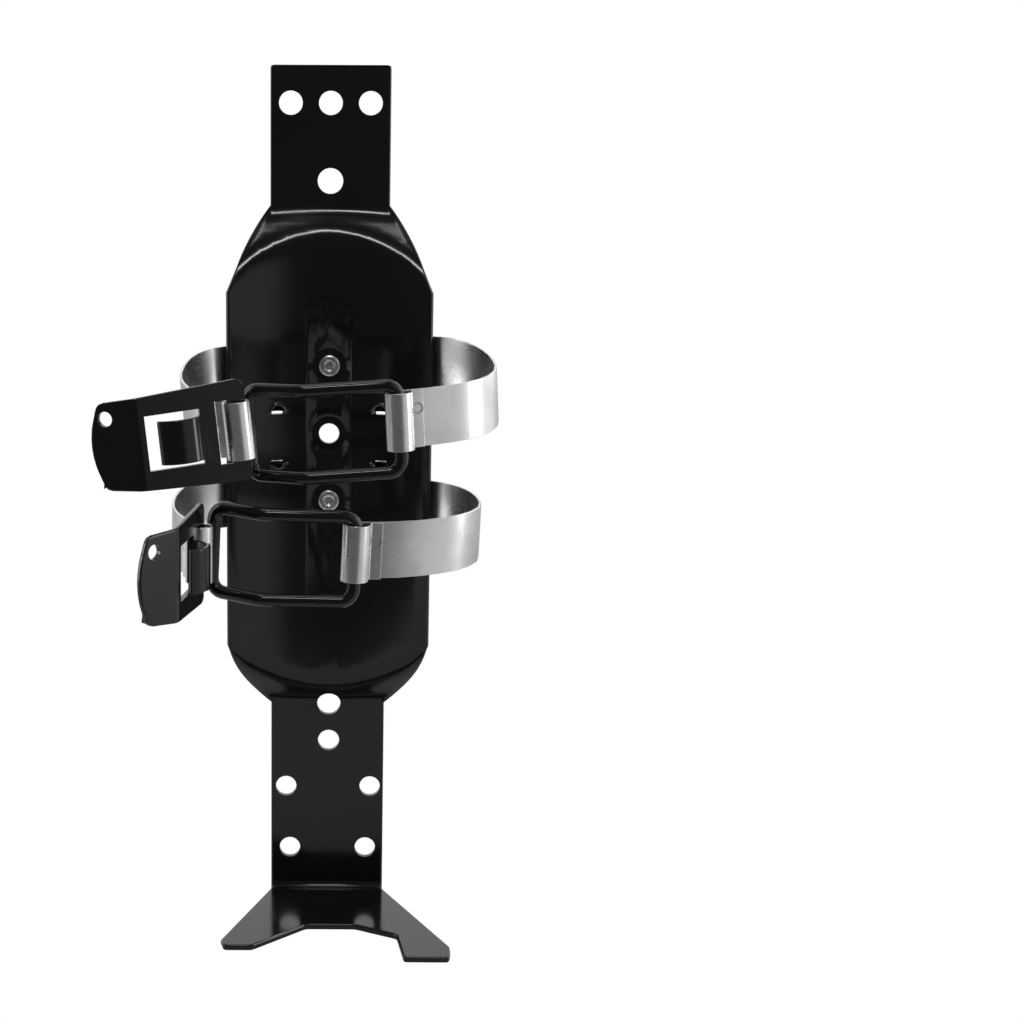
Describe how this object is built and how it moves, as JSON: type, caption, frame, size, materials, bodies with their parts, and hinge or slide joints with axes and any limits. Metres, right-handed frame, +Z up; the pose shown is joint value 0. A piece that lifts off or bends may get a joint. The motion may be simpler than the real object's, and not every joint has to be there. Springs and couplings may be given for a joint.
{
  "type": "fire extinguisher bracket",
  "caption": "Pressed steel wall bracket that holds a cylinder on a forked foot with two steel straps, each closed by a wire bail and a hooked lever.",
  "frame": {"origin": "on the back of the top flange, on its centreline, half way between the row of three holes and the single hole below it; the wall plane is y = 0", "axes": "+Z up along the plate, +Y into the wall, -Y out to the front, +X to the right as seen from the front"},
  "size_m": [0.1832, 0.1697, 0.4171],
  "materials": {
    "plate_paint": "gloss black powder coat",
    "lever_paint": "gloss black powder coat",
    "wire_paint": "gloss black powder coat",
    "strap_metal": "bright zinc-plated strip",
    "rivet_metal": "bright zinc plate"
  },
  "bodies": {
    "frame": {"back_plate": "plate_paint", "upper_strap": "strap_metal", "lower_strap": "strap_metal", "upper_rivet": "rivet_metal", "lower_rivet": "rivet_metal"},
    "upper_bail": {"upper_bail": "wire_paint"},
    "lower_bail": {"lower_bail": "wire_paint"},
    "upper_lever": {"upper_lever": "lever_paint"},
    "lower_lever": {"lower_lever": "lever_paint"}
  },
  "joints": [
    {"name": "upper_bail_hinge", "type": "hinge", "parent": "frame", "child": "upper_bail", "pos_m": [0.0314, -0.108, -0.1198], "axis": [-0.0558, -0.0349, 0.9978], "range_deg": [-95, 0]},
    {"name": "lower_bail_hinge", "type": "hinge", "parent": "frame", "child": "lower_bail", "pos_m": [0.0122, -0.108, -0.1794], "axis": [0.0436, -0.0349, 0.9984], "range_deg": [-95, 0]},
    {"name": "upper_lever_hinge", "type": "hinge", "parent": "frame", "child": "upper_lever", "pos_m": [-0.0399, -0.108, -0.1242], "axis": [-0.1097, 0, 0.994], "range_deg": [-36, 105]},
    {"name": "lower_lever_hinge", "type": "hinge", "parent": "frame", "child": "lower_lever", "pos_m": [-0.0577, -0.108, -0.1804], "axis": [0.0087, 0, 1], "range_deg": [-106, 41]}
  ]
}
